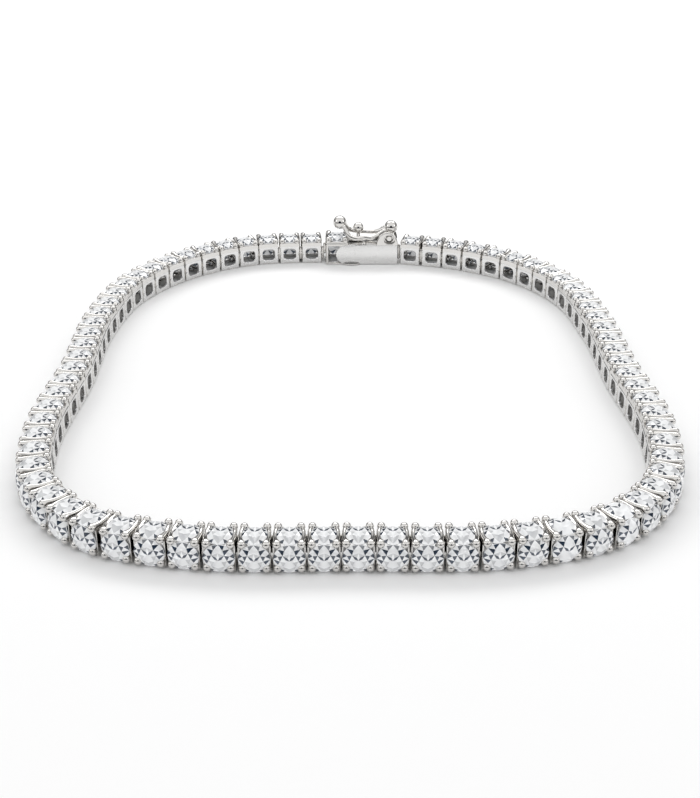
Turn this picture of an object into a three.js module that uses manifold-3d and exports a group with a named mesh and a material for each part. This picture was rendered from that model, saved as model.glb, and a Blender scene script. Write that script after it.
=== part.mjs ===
// Bracelet of box settings, each with two round brilliants at right angles: one faces up and
// one faces outward. It lies on its edge, with its box clasp and wire safety catch at the back.
// Millimetres, +Z up, the table at z = 0. A link's own frame has X along the chain, Y outward
// and its origin on the table.

import * as THREE from 'three';
import { mergeVertices } from 'three/addons/utils/BufferGeometryUtils.js';
import Module from 'manifold-3d';

const wasm = await Module();
wasm.setup();

// Stones
const STONE_DIAMETER = 2.2;
const STONE_GAP = 0.14;
const STONE_SIDES = 8;
const TABLE_SHARE = 0.56;
const CROWN_SHARE = 0.15;
const PAVILION_SHARE = 0.43;
const GIRDLE_THICKNESS = 0.06;
const SEAT_CLEARANCE = 0.06;

// Settings
const FLOOR_UNDER_STONE = 0.08;
const CORNER_CLEARANCE = 0.02;
const INNER_LEDGE = 0.16;
const SIDE_MARGIN = 0.02;
const WINDOW_SIDE = 1.2;
const WINDOW_DEPTH = 1.45;
const WINDOW_HEIGHT = 1.12;
const RAIL_WIDTH = 0.26;
const RAIL_HEIGHT = 0.26;
const RAIL_INSET = 0.3;
const CLAW_REACH = 0.25;

// Chain
const CONNECTOR_WIRE = 0.36;
const CONNECTOR_BITE = 0.25;
const CONNECTOR_HEIGHT = 1.1;
const CONNECTOR_INSET = 0.36;
const MEETING_GAP = 0.1;
const ROUTE_DIVISIONS = 800;
const WIRE_SIDES = 5;

// The chosen points of the chain's middle line between the clasp's two ends, from its right
// end by way of the front to its left end: x, y.
const ROUTE = [
  [11.4, 25.8], [17.2, 22.0], [21.1, 16.1], [22.7, 7.7], [23.2, -2.1], [24.1, -13.0],
  [22.6, -21.0], [18.2, -26.0], [10.8, -28.4], [0, -28.7], [-10.8, -28.5], [-18.1, -26.4],
  [-22.7, -21.3], [-24.2, -13.5], [-23.5, -2.1], [-23.3, 8.2], [-21.5, 16.7],
  [-17.1, 23.1], [-10.7, 27.1],
];

// How far the chain's left end lies outward of the clasp's middle line
const LEFT_END_SHIFT = 0.5;

// Clasp box, in the world's frame
const CLASP_RIGHT_END = 4.96;
const CLASP_MIDDLE_Y = 27.6;
const CLASP_GAP = 0.44;
const BOX_LENGTH = 5.14;
const BOX_DEPTH = 2.6;
const BOX_HEIGHT = 2.14;
const BOX_LIFT = 0.04;
const PLATE_LENGTH = 6.52;
const PLATE_THICKNESS = 0.3;
const CAVITY_WALL = 0.6;
const CAVITY_DEPTH = 3.6;
const LIP_LENGTH = 1.8;
const LIP_REACH = 0.3;
const LIP_THICKNESS = 0.12;
const LIP_BITE = 0.05;
const LIP_TO_END = 4.9;
const BUMP_DIAMETER = 0.62;
const BUMP_TO_END = 3.6;

// Clasp tongue and its release stud
const TONGUE_LENGTH = 3.3;
const TONGUE_THICKNESS = 0.45;
const TONGUE_CLEARANCE = 0.15;
const SETTING_CLEARANCE = 0.1;
const CLASP_SETTING_SCALE = 1.12;
const STUD_BALL_DIAMETER = 1.12;
const STUD_STEM_DIAMETER = 0.36;
const STUD_TO_END = 4.15;
const STUD_RISE = 1.5;

// Safety catch and its hinge
const CATCH_WIRE = 0.46;
const CATCH_LEFT_BALL = 1.42;
const CATCH_RIGHT_BALL = 1.4;
const HINGE_TO_END = 0.9;
const HINGE_RISE = 0.64;
const PIN_DIAMETER = 0.62;
const PIN_CLEARANCE = 0.13;
const BARREL_WALL = 0.12;
const EAR_THICKNESS = 0.35;
const EAR_WIDTH = 2.2;
const EAR_HEIGHT = 1.36;
const EAR_CLEARANCE = 0.12;
const ROUND_SIDES = 12;

// Half of the catch's loop, from inside the left ball to inside the right one, in shares of
// the reach between the balls, of the box's half depth, and of the left ball's rise.
const CATCH_BRANCH = [
  { along: 0.00, out: 0.00, up: 1.00 },
  { along: 0.09, out: 0.42, up: 0.80 },
  { along: 0.19, out: 0.82, up: 0.44 },
  { along: 0.33, out: 0.90, up: 0.33 },
  { along: 0.48, out: 0.70, up: 0.36 },
  { along: 0.60, out: 0.74, up: 0.33 },
  { along: 0.74, out: 0.46, up: 0.42 },
  { along: 0.87, out: 0.26, up: 0.60 },
  { along: 1.00, out: 0.00, up: 0.76 },
];
const CATCH_LEFT_RISE = 2.08;
const CATCH_LEFT_TO_END = 6.1;
const CATCH_RIGHT_TO_END = 0.7;
const CATCH_STEPS = 16;

// Derived sizes
const stoneRadius = STONE_DIAMETER / 2;
const stoneApothem = stoneRadius * Math.cos(Math.PI / STONE_SIDES);
const settingDepth = STONE_DIAMETER + INNER_LEDGE;
const outerGirdle = settingDepth / 2;
const topStoneY = outerGirdle - stoneRadius;
const outerStoneZ = FLOOR_UNDER_STONE + stoneRadius;
const topGirdle = FLOOR_UNDER_STONE + STONE_DIAMETER + CORNER_CLEARANCE;
const settingHalfWidth = stoneApothem + SIDE_MARGIN;
const boxLeftEnd = CLASP_RIGHT_END - BOX_LENGTH;
const boxTop = BOX_LIFT + BOX_HEIGHT;
const boxMiddleZ = BOX_LIFT + BOX_HEIGHT / 2;
const claspSettingHalfWidth = settingHalfWidth * CLASP_SETTING_SCALE;
const tongueSettingX = boxLeftEnd - SETTING_CLEARANCE - claspSettingHalfWidth;
const claspLeftEnd = tongueSettingX - claspSettingHalfWidth;
const connectorBite = settingHalfWidth - CONNECTOR_BITE;
const hingeX = CLASP_RIGHT_END - HINGE_TO_END;
const hingeZ = boxTop + HINGE_RISE;
const studX = CLASP_RIGHT_END - STUD_TO_END;
const earInnerY = BOX_DEPTH / 2 - EAR_THICKNESS;

// Materials
const whiteMetal = () => new THREE.MeshStandardMaterial({ color: 0xd6d7d9, roughness: 0.18, metalness: 1 });
const clearStone = () => new THREE.MeshStandardMaterial({ color: 0xeef3f8, roughness: 0.02, metalness: 0 });

// Solids and transforms
function solid(geometry) {
  const bare = geometry.clone();
  bare.deleteAttribute('normal');
  bare.deleteAttribute('uv');
  const merged = mergeVertices(bare, 1e-5);
  const vertProperties = new Float32Array(merged.attributes.position.array);
  const triVerts = new Uint32Array(merged.index.array);
  return new wasm.Manifold(new wasm.Mesh({ numProp: 3, vertProperties, triVerts }));
}

function joined(solids) {
  return solids.reduce((sum, next) => sum.add(next));
}

function geometryOf(manifold) {
  const mesh = manifold.getMesh();
  const geometry = new THREE.BufferGeometry();
  geometry.setAttribute('position', new THREE.BufferAttribute(new Float32Array(mesh.vertProperties), 3));
  geometry.setIndex(new THREE.BufferAttribute(new Uint32Array(mesh.triVerts), 1));
  geometry.computeVertexNormals();
  return geometry;
}

function piece(name, manifold, material) {
  const mesh = new THREE.Mesh(geometryOf(manifold), material);
  mesh.name = name;
  return mesh;
}

function block(xRange, yRange, zRange) {
  const size = [xRange, yRange, zRange].map(([low, high]) => high - low);
  const middle = [xRange, yRange, zRange].map(([low, high]) => (low + high) / 2);
  return solid(new THREE.BoxGeometry(...size).translate(...middle));
}

function ball(diameter, sides, [x, y, z]) {
  return solid(new THREE.SphereGeometry(diameter / 2, sides, sides / 2 + 1).translate(x, y, z));
}

function rodAlongY(diameter, length, sides, x, z) {
  return solid(new THREE.CylinderGeometry(diameter / 2, diameter / 2, length, sides).translate(x, 0, z));
}

// Extrudes an outline drawn in the X-Z plane along Y, from y outward.
function extrudedAlongY(outline, thickness, y) {
  const geometry = new THREE.ExtrudeGeometry(outline, { depth: thickness, bevelEnabled: false });
  geometry.rotateX(Math.PI / 2);
  return solid(geometry.translate(0, y + thickness, 0));
}

// Stones: an eight-sided brilliant turned from its profile, with its girdle plane at z = 0.
function turnedStone(profile) {
  const points = profile.map(([radius, height]) => new THREE.Vector2(radius, height));
  return new THREE.LatheGeometry(points, STONE_SIDES, Math.PI / STONE_SIDES).rotateX(Math.PI / 2);
}

function brilliant(grow = 0) {
  const radius = stoneRadius + grow;
  const crownHeight = 2 * radius * CROWN_SHARE;
  return turnedStone([
    [0, -2 * radius * PAVILION_SHARE], [radius, -GIRDLE_THICKNESS / 2], [radius, GIRDLE_THICKNESS / 2],
    [radius * TABLE_SHARE, crownHeight], [0, crownHeight],
  ]);
}

// The crown alone, for a stone whose lower half is one with its setting.
function crown() {
  const height = STONE_DIAMETER * CROWN_SHARE;
  return turnedStone([[0, 0], [stoneRadius, 0], [stoneRadius * TABLE_SHARE, height], [0, height]]);
}

function facingUp(stone) {
  return solid(stone.translate(0, topStoneY, topGirdle));
}

function facingOut(stone) {
  return solid(stone.rotateX(-Math.PI / 2).translate(0, outerGirdle, outerStoneZ));
}

// Setting: a block with a window in its inner face.
function settingBlock() {
  return block([-settingHalfWidth, settingHalfWidth], [-outerGirdle, outerGirdle], [0, topGirdle]);
}

function settingWindow() {
  const half = WINDOW_SIDE / 2;
  return block(
    [-half, half],
    [-outerGirdle - SETTING_CLEARANCE, -outerGirdle + WINDOW_DEPTH],
    [WINDOW_HEIGHT - half, WINDOW_HEIGHT + half],
  );
}

// A rail over the setting's side edge, whose outer end stands out over the corner as a claw.
function rail(side) {
  const middle = side * (settingHalfWidth - RAIL_WIDTH / 2);
  return block(
    [middle - RAIL_WIDTH / 2, middle + RAIL_WIDTH / 2],
    [-outerGirdle + RAIL_INSET, outerGirdle + CLAW_REACH],
    [topGirdle - RAIL_HEIGHT, topGirdle + RAIL_HEIGHT],
  );
}

function setting() {
  return joined([settingBlock().subtract(settingWindow()), rail(-1), rail(1)]);
}

function link() {
  return joined([setting(), facingUp(crown()), facingOut(crown())]);
}

// Chain: links at even steps along the route.
function routeCurve() {
  const middle = ROUTE.map(([x, y]) => new THREE.Vector3(x, y, 0));
  const start = new THREE.Vector3(CLASP_RIGHT_END + CLASP_GAP, CLASP_MIDDLE_Y, 0);
  const end = new THREE.Vector3(claspLeftEnd - CLASP_GAP, CLASP_MIDDLE_Y + LEFT_END_SHIFT, 0);
  const curve = new THREE.CatmullRomCurve3([start, ...middle, end], false, 'centripetal');
  curve.arcLengthDivisions = ROUTE_DIVISIONS;
  return curve;
}

const route = routeCurve();
const linkCount = Math.round(route.getLength() / (STONE_DIAMETER + STONE_GAP));
const linkPitch = route.getLength() / linkCount;

function linkFrame(index) {
  const share = (index + 0.5) / linkCount;
  const along = route.getTangentAt(share);
  const turn = new THREE.Matrix4().makeRotationZ(Math.atan2(along.y, along.x));
  return turn.setPosition(route.getPointAt(share));
}

// A point on the connectors' line beside a link: shift is measured along the chain.
function connectorPoint(index, shift) {
  const local = new THREE.Vector3(shift, -outerGirdle + CONNECTOR_INSET, CONNECTOR_HEIGHT);
  return local.applyMatrix4(linkFrame(index));
}

function wireBetween(from, to, diameter) {
  const geometry = new THREE.CylinderGeometry(diameter / 2, diameter / 2, from.distanceTo(to), WIRE_SIDES);
  const direction = to.clone().sub(from).normalize();
  geometry.applyQuaternion(new THREE.Quaternion().setFromUnitVectors(new THREE.Vector3(0, 1, 0), direction));
  const middle = from.clone().add(to).multiplyScalar(0.5);
  return solid(geometry.translate(middle.x, middle.y, middle.z));
}

function connector(index) {
  return wireBetween(connectorPoint(index, connectorBite), connectorPoint(index + 1, -connectorBite), CONNECTOR_WIRE);
}

// A connector to one end of the clasp, which it doesn't quite touch; side is -1 or 1.
function claspConnector(index, side, claspX) {
  const y = CLASP_MIDDLE_Y - outerGirdle + CONNECTOR_INSET;
  const end = new THREE.Vector3(claspX, y, CONNECTOR_HEIGHT);
  return wireBetween(connectorPoint(index, side * connectorBite), end, CONNECTOR_WIRE);
}

function chainLinks(first, last) {
  const shape = link();
  const solids = [];
  for (let index = first; index <= last; index += 1) {
    solids.push(shape.transform(linkFrame(index).elements));
    if (index < last) {
      solids.push(connector(index));
    }
  }
  return solids;
}

const lastRightLink = Math.floor(linkCount / 2);

// The right chain's last connector reaches for the left chain and stops just short of it.
function rightChain() {
  const nextLinkSide = linkPitch - settingHalfWidth;
  const from = connectorPoint(lastRightLink, connectorBite);
  const to = connectorPoint(lastRightLink, nextLinkSide - MEETING_GAP);
  const toClasp = claspConnector(0, -1, CLASP_RIGHT_END + MEETING_GAP);
  return joined([toClasp, ...chainLinks(0, lastRightLink), wireBetween(from, to, CONNECTOR_WIRE)]);
}

function leftChain() {
  const last = linkCount - 1;
  const toClasp = claspConnector(last, 1, claspLeftEnd - MEETING_GAP);
  return joined([...chainLinks(lastRightLink + 1, last), toClasp]);
}

// Clasp box: a block with a flat inner plate, whose left end is half round and passes in
// front of the tongue's setting.
function plateOutline(grow) {
  const radius = BOX_HEIGHT / 2;
  const roundX = CLASP_RIGHT_END - PLATE_LENGTH + radius;
  const outline = new THREE.Shape();
  outline.moveTo(CLASP_RIGHT_END, boxMiddleZ - radius - grow);
  outline.lineTo(CLASP_RIGHT_END, boxMiddleZ + radius + grow);
  outline.lineTo(roundX, boxMiddleZ + radius + grow);
  outline.absarc(roundX, boxMiddleZ, radius + grow, Math.PI / 2, 1.5 * Math.PI, false);
  return outline;
}

function innerPlate() {
  return extrudedAlongY(plateOutline(0), PLATE_THICKNESS, -BOX_DEPTH / 2);
}

function plateCut() {
  const thickness = PLATE_THICKNESS + 2 * SETTING_CLEARANCE;
  return extrudedAlongY(plateOutline(SETTING_CLEARANCE), thickness, -BOX_DEPTH / 2 - SETTING_CLEARANCE);
}

function tongueCavity() {
  const halfDepth = BOX_DEPTH / 2 - CAVITY_WALL;
  return block(
    [boxLeftEnd - SETTING_CLEARANCE, boxLeftEnd + CAVITY_DEPTH],
    [-halfDepth, halfDepth],
    [BOX_LIFT + CAVITY_WALL, boxTop - CAVITY_WALL],
  );
}

function studSlot() {
  const half = STUD_STEM_DIAMETER / 2 + TONGUE_CLEARANCE;
  return block(
    [boxLeftEnd - SETTING_CLEARANCE, studX + half],
    [-half, half],
    [boxMiddleZ, boxTop + SETTING_CLEARANCE],
  );
}

// The thin half-moon under the plate that a fingernail opens the box by.
function lip() {
  const outline = new THREE.Shape();
  outline.absellipse(0, 0, LIP_LENGTH / 2, LIP_REACH + LIP_BITE, Math.PI, 2 * Math.PI, false, 0);
  const geometry = new THREE.ExtrudeGeometry(outline, { depth: LIP_THICKNESS, bevelEnabled: false });
  return solid(geometry.translate(CLASP_RIGHT_END - LIP_TO_END, -BOX_DEPTH / 2 + LIP_BITE, BOX_LIFT));
}

function ear(y) {
  const middle = CLASP_RIGHT_END - EAR_WIDTH / 2;
  const foot = boxTop - CAVITY_WALL / 2;
  const outline = new THREE.Shape();
  outline.moveTo(middle - EAR_WIDTH / 2, foot);
  outline.lineTo(middle + EAR_WIDTH / 2, foot);
  outline.absellipse(middle, boxTop, EAR_WIDTH / 2, EAR_HEIGHT, 0, Math.PI, false, 0);
  return extrudedAlongY(outline, EAR_THICKNESS, y);
}

function hingeBore(length) {
  return rodAlongY(PIN_DIAMETER + 2 * PIN_CLEARANCE, length, ROUND_SIDES, hingeX, hingeZ);
}

function claspBox() {
  const body = block(
    [boxLeftEnd, CLASP_RIGHT_END],
    [-BOX_DEPTH / 2 + PLATE_THICKNESS / 2, BOX_DEPTH / 2],
    [BOX_LIFT, boxTop],
  );
  const bumpMiddle = [CLASP_RIGHT_END - BUMP_TO_END, -BOX_DEPTH / 2 + BUMP_DIAMETER / 2, boxTop];
  const added = [innerPlate(), lip(), ear(-BOX_DEPTH / 2), ear(earInnerY), ball(BUMP_DIAMETER, 8, bumpMiddle)];
  const cuts = joined([tongueCavity(), studSlot(), hingeBore(2 * BOX_DEPTH)]);
  return joined([body, ...added]).subtract(cuts);
}

// Clasp tongue: a setting a little larger than the links', a flat tongue inside the box, and
// the release stud on it.
function atTongue(shape) {
  return shape.scale(CLASP_SETTING_SCALE).translate(tongueSettingX, 0, 0);
}

function releaseStud() {
  const top = boxTop + STUD_RISE;
  const foot = new THREE.Vector3(studX, 0, boxMiddleZ);
  const stem = wireBetween(foot, new THREE.Vector3(studX, 0, top), STUD_STEM_DIAMETER);
  return stem.add(ball(STUD_BALL_DIAMETER, ROUND_SIDES, [studX, 0, top]));
}

function claspTongue() {
  const seats = facingUp(brilliant(SEAT_CLEARANCE)).add(facingOut(brilliant(SEAT_CLEARANCE)));
  const frame = atTongue(setting().subtract(seats)).subtract(plateCut());
  const halfDepth = BOX_DEPTH / 2 - CAVITY_WALL - TONGUE_CLEARANCE;
  const flatTongue = block(
    [tongueSettingX + connectorBite, boxLeftEnd + TONGUE_LENGTH],
    [-halfDepth, halfDepth],
    [boxMiddleZ - TONGUE_THICKNESS / 2, boxMiddleZ + TONGUE_THICKNESS / 2],
  );
  return joined([frame, flatTongue, releaseStud()]);
}

// Safety catch: a loop of wire with a narrow waist, a large ball at each end and a barrel
// round the hinge pin, in one piece.
function catchPoint({ along, out, up }, side) {
  const left = CLASP_RIGHT_END - CATCH_LEFT_TO_END;
  const right = CLASP_RIGHT_END - CATCH_RIGHT_TO_END;
  const x = left + along * (right - left);
  return new THREE.Vector3(x, side * out * BOX_DEPTH / 2, boxTop + up * CATCH_LEFT_RISE);
}

function catchBranch(side) {
  const path = new THREE.CatmullRomCurve3(CATCH_BRANCH.map((row) => catchPoint(row, side)));
  const section = new THREE.Shape();
  for (let corner = 0; corner < WIRE_SIDES; corner += 1) {
    const angle = (2 * Math.PI * corner) / WIRE_SIDES;
    const [x, y] = [Math.cos(angle) * CATCH_WIRE / 2, Math.sin(angle) * CATCH_WIRE / 2];
    section[corner === 0 ? 'moveTo' : 'lineTo'](x, y);
  }
  return solid(new THREE.ExtrudeGeometry(section, { steps: CATCH_STEPS, extrudePath: path }));
}

function safetyCatch() {
  const leftBall = catchPoint(CATCH_BRANCH[0], 1);
  const rightBall = catchPoint(CATCH_BRANCH.at(-1), 1);
  const boreRadius = PIN_DIAMETER / 2 + PIN_CLEARANCE;
  const barrelLength = 2 * (earInnerY - EAR_CLEARANCE);
  const barrel = rodAlongY(2 * (boreRadius + BARREL_WALL), barrelLength, ROUND_SIDES, hingeX, hingeZ);
  const neck = wireBetween(new THREE.Vector3(hingeX, 0, hingeZ), rightBall, CATCH_WIRE);
  const solids = [
    barrel, neck, catchBranch(-1), catchBranch(1),
    ball(CATCH_LEFT_BALL, ROUND_SIDES, leftBall.toArray()),
    ball(CATCH_RIGHT_BALL, ROUND_SIDES, rightBall.toArray()),
  ];
  return joined(solids).subtract(hingeBore(2 * BOX_DEPTH));
}

function catchPin() {
  return rodAlongY(PIN_DIAMETER, BOX_DEPTH - 2 * PIN_CLEARANCE, ROUND_SIDES, hingeX, hingeZ);
}

// Assembly
const clasp = new THREE.Group();
clasp.position.y = CLASP_MIDDLE_Y;
clasp.add(
  piece('clasp_box', claspBox(), whiteMetal()),
  piece('clasp_tongue', claspTongue(), whiteMetal()),
  piece('clasp_top_stone', atTongue(facingUp(brilliant())), clearStone()),
  piece('clasp_outer_stone', atTongue(facingOut(brilliant())), clearStone()),
  piece('safety_catch', safetyCatch(), whiteMetal()),
  piece('catch_pin', catchPin(), whiteMetal()),
);

const bracelet = new THREE.Group();
bracelet.add(
  piece('links_right', rightChain(), whiteMetal()),
  piece('links_left', leftChain(), whiteMetal()),
  clasp,
);

// The origin is under the middle of the whole piece, on the table.
const middle = new THREE.Box3().setFromObject(bracelet).getCenter(new THREE.Vector3());
bracelet.position.set(-middle.x, -middle.y, 0);

export default bracelet;
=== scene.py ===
# Looks for a bracelet of box settings, each with two round brilliants at right angles, with
# its box clasp and wire safety catch. Metres, +Z up, the table at z = 0. A link's own frame
# has X along the chain, Y outward and its origin on the table.

import math

import bmesh
import bpy
from bpy.props import FloatProperty, FloatVectorProperty, PointerProperty
from bpy.types import Operator, Panel, PropertyGroup
from mathutils import Matrix, Vector


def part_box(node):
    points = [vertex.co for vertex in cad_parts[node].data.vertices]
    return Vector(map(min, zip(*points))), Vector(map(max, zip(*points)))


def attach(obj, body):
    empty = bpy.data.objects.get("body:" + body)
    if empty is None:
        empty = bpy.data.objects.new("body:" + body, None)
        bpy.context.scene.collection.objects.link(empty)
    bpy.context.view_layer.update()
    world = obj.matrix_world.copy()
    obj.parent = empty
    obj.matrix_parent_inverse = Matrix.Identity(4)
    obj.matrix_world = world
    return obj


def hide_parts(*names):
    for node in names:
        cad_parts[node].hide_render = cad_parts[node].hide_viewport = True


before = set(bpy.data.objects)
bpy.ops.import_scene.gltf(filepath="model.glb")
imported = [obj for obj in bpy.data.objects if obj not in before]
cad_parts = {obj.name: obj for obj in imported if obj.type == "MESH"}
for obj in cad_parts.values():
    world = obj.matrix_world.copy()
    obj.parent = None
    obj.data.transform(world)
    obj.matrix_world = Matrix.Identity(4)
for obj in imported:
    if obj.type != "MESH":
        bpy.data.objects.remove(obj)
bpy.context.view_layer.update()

bl_info = {
    "name": "Two-stone tennis bracelet",
    "version": (1, 0, 0),
    "blender": (4, 5, 0),
    "location": "3D View > Sidebar > Bracelet",
    "description": "Builds the detailed links, stones, clasp and safety catch of a bracelet",
    "category": "Object",
}

# Chain route: its chosen points between the clasp's two ends, from its right end by way of
# the front to its left end
ROUTE = [
    (0.0114, 0.0258), (0.0172, 0.0220), (0.0211, 0.0161), (0.0227, 0.0077), (0.0232, -0.0021),
    (0.0241, -0.0130), (0.0226, -0.0210), (0.0182, -0.0260), (0.0108, -0.0284), (0.0, -0.0287),
    (-0.0108, -0.0285), (-0.0181, -0.0264), (-0.0227, -0.0213), (-0.0242, -0.0135),
    (-0.0235, -0.0021), (-0.0233, 0.0082), (-0.0215, 0.0167), (-0.0171, 0.0231), (-0.0107, 0.0271),
]
# How far the chain's left end lies outward of the clasp's middle line
LEFT_END_SHIFT = 0.0005
CLASP_GAP = 0.00044
STONE_GAP = 0.00014
SPAN_STEPS = 80

# Settings
INNER_LEDGE = 0.00016
FLOOR_UNDER_STONE = 0.00008
CORNER_CLEARANCE = 0.00002
SETTING_HALF_WIDTH = 0.0010363
WALL = 0.00012
WALL_INSET = 0.00002
WALL_SPREAD = 0.0001
FLOOR_REACH = -0.0007
OUTER_BAR_Y = 0.00076
OUTER_BAR_HEIGHT = 0.00030
CLAW_BALL = 0.0006
CLAW_X = 0.00081
INNER_CLAW_X = 0.00078
CLAW_TO_EDGE = 0.00028
OUTER_CLAW_REACH = 0.00005
LOW_CLAW_LIFT = 0.00016
RAIL_SIDES = 10
# A rail from the inner claw round the top stone to the outer claw's drop: x, y and z, and
# the wire's radius
RAIL = [
    (0.00080, -0.00090, 0.00236, 0.00016),
    (0.00092, -0.00050, 0.00238, 0.00016),
    (0.00095, 0.00008, 0.00235, 0.00017),
    (0.00094, 0.00050, 0.00235, 0.00018),
    (0.00089, 0.00080, 0.00236, 0.00021),
    (0.00084, 0.00098, 0.00233, 0.00028),
    (0.00083, 0.00112, 0.00229, 0.00031),
]

# Inner plate of a setting
PLATE_HALF_WIDTH = 0.00100
PLATE_BOTTOM = 0.00002
PLATE_TOP = 0.00186
PLATE_THICKNESS = 0.00022
PLATE_CORNER = 0.00016
FOOT_WIDTH = 0.00036
FOOT_RISE = 0.00009
NOTCH_HALF_HEIGHT = 0.00022
NOTCH_DEPTH = 0.00007
WINDOW_HALF_WIDTH = 0.00064
WINDOW_BOTTOM = 0.00042
WINDOW_TOP = 0.00162
WINDOW_CORNER = 0.00036

# Hinge knuckle and upright hinge bar between two links, and the bars at the clasp's two ends
KNUCKLE_HALF_LENGTH = 0.00042
KNUCKLE_HALF_DEPTH = 0.00014
KNUCKLE_HALF_HEIGHT = 0.00022
LINK_HINGE_RADIUS = 0.00014
LINK_HINGE_HEIGHTS = (0.0003, 0.00178)
CONNECTOR_HEIGHT = 0.0011
CONNECTOR_INSET = 0.00036
HINGE_BAR_RADIUS = 0.00015
HINGE_BAR_INSET = 0.0009
RIGHT_HINGE_BAR = (0.0003, 0.0020)
LEFT_HINGE_BAR = (0.0010, 0.0022)

# Clasp box
CLASP_RIGHT_END = 0.00496
BOX_LENGTH = 0.00514
BOX_DEPTH = 0.0026
BOX_HEIGHT = 0.00214
BOX_LIFT = 0.00004
BOX_PLATE_LENGTH = 0.00652
BOX_PLATE_THICKNESS = 0.0003
BOX_ROUNDING = 0.00007
CAVITY_WALL = 0.0006
CAVITY_DEPTH = 0.0036
LIP_LENGTH = 0.0018
LIP_REACH = 0.0003
LIP_THICKNESS = 0.00012
LIP_TO_END = 0.0049
BUMP_DIAMETER = 0.00062
BUMP_TO_END = 0.0036
SETTING_CLEARANCE = 0.0001
CLASP_SETTING_SCALE = 1.12

# Clasp tongue and its release stud
TONGUE_LENGTH = 0.0033
TONGUE_THICKNESS = 0.00045
TONGUE_CLEARANCE = 0.00015
STUD_BALL_DIAMETER = 0.00112
STUD_STEM_DIAMETER = 0.00036
STUD_TO_END = 0.00415
STUD_RISE = 0.0015
FRAME_WIRE = 0.00024
FRAME_TOP = 0.00206
FOOT_BALL = 0.00040

# Safety catch and its hinge
CATCH_WIRE = 0.00046
CATCH_LEFT_BALL = 0.00142
CATCH_RIGHT_BALL = 0.0014
HINGE_TO_END = 0.0009
HINGE_RISE = 0.00064
PIN_DIAMETER = 0.00062
PIN_CLEARANCE = 0.00013
BARREL_WALL = 0.00012
EAR_THICKNESS = 0.00035
EAR_WIDTH = 0.0022
EAR_HEIGHT = 0.00136
EAR_CLEARANCE = 0.00012
EAR_FOOT = 0.0001
EAR_SETBACK = 0.00003
EAR_ROUNDING = 0.00008
EAR_BAND = 0.00027
EAR_OPENING_HALF = 0.00056
EAR_OPENING_SHIFT = 0.00004
EAR_OPENING_BOTTOM = 0.00014
EAR_OPENING_TOP = 0.00102
EAR_OPENING_CORNER = 0.0004
# Half of the catch's loop: along, outward and up, in shares of the reach between the balls,
# of the box's half depth and of the left ball's rise
CATCH_BRANCH = [
    (0.00, 0.00, 1.00), (0.09, 0.42, 0.80), (0.19, 0.82, 0.44), (0.33, 0.90, 0.33),
    (0.48, 0.70, 0.36), (0.60, 0.74, 0.33), (0.74, 0.46, 0.42), (0.87, 0.26, 0.60),
    (1.00, 0.00, 0.755),
]
CATCH_LEFT_RISE = 0.00208
CATCH_LEFT_TO_END = 0.0061
CATCH_RIGHT_TO_END = 0.0007
CATCH_STEPS = 6

# Roundness: sides of wires, and segments and rings of balls
WIRE_SIDES = 10
ARM_SIDES = 8
STEM_SIDES = 20
HINGE_SIDES = 32
BORE_SIDES = 24
EAR_STEPS = 28
LIP_STEPS = 20
PLATE_END_STEPS = 32
KNUCKLE_DETAIL = (10, 6)
CATCH_SIDES = 16
CLAW_BALL_DETAIL = (12, 8)
FOOT_BALL_DETAIL = (16, 10)
BUMP_DETAIL = (20, 12)
STUD_BALL_DETAIL = (32, 20)
CATCH_BALL_DETAIL = (40, 24)
SMOOTH_ANGLE = math.radians(38)
WELD_DISTANCE = 2e-6

# Each facet has a tone of painted reflection from 0 to 1, shifted a little from link to link,
# and this ramp gives its painted shade, from a painted dark reflection to a painted white flash
FACET_REFLECTION = "painted facet reflection"
LINK_TONE = "link tone"
TONE_SHIFT = 0.065
TONE_SEED = 7
TONE_LEVELS = [(0.0, 0.0), (0.15, 0.12), (0.26, 0.66), (0.38, 1.0)]
DARK, MIDDLE, LIGHT, WHITE = 0.07, 0.2, 0.33, 0.6
# Painted reflections of each ring of facets, set by which way a facet faces, in equal shares of
# the half turn from a stone's own +Y to its -Y: from bottom to top on an outer stone, and from the outer
# to the inner side on a top stone
RING_TONES = {
    "table flashes": [WHITE, WHITE, WHITE, DARK, WHITE],
    "table edge": [WHITE, LIGHT, WHITE, LIGHT],
    "stars": [LIGHT, WHITE, DARK, WHITE],
    "kites": [LIGHT, WHITE, WHITE, DARK, WHITE, WHITE, DARK, WHITE],
    "upper halves": [WHITE, DARK, WHITE, WHITE, DARK, WHITE, WHITE, MIDDLE],
    "lower halves": [WHITE, DARK, WHITE, WHITE, DARK, WHITE, MIDDLE, WHITE],
    "pavilion": [WHITE, WHITE, LIGHT, DARK, WHITE],
}
# Where the painted flashes in a stone's table meet, as a share of the table's width
INNER_STAR = 0.42
# How far a half facet's tone is read from the middle of its pair, in degrees
KITE_HALF_TURN = 6
GIRDLE_HALF_TURN = 8

# Fine marks on the metal: their size, how far they are drawn out, and their depth
POLISH_MARKS = (0.0006, 1.0, 0.000002)
SATIN_MARKS = (0.00004, 6.0, 0.000001)
MARK_STRENGTH = 0.25
HAZE_SCALE = 0.2
# The least and the most roughness, and the darkest shade, as shares of the set ones
LEAST_ROUGH = 0.6
MOST_ROUGH = 1.5
DARKEST_METAL = 0.96
DARKEST_FLOOR = 0.995
FLOOR_GRAIN = 400
FLOOR_ROUGHNESS = 0.9
FLOOR_GLOSS = 0.1
# How far the floor lies below the table's height, so that it never meets a piece
FLOOR_DROP = 0.00001

# Surroundings: levels of grey by height, from the horizon at 0 to overhead at 1
FRONT_WALL_LEVELS = [(0.0, 0.06), (0.14, 0.08), (0.22, 0.80), (0.5, 1.0), (1.0, 1.0)]
BACK_WALL_LEVELS = [(0.0, 0.08), (0.30, 0.12), (0.42, 0.65), (1.0, 0.92)]
WALL_BLEND = 0.1
# What the camera itself sees beyond the floor
BACKDROP_COLOUR = (0.9, 0.9, 0.9)
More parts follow.
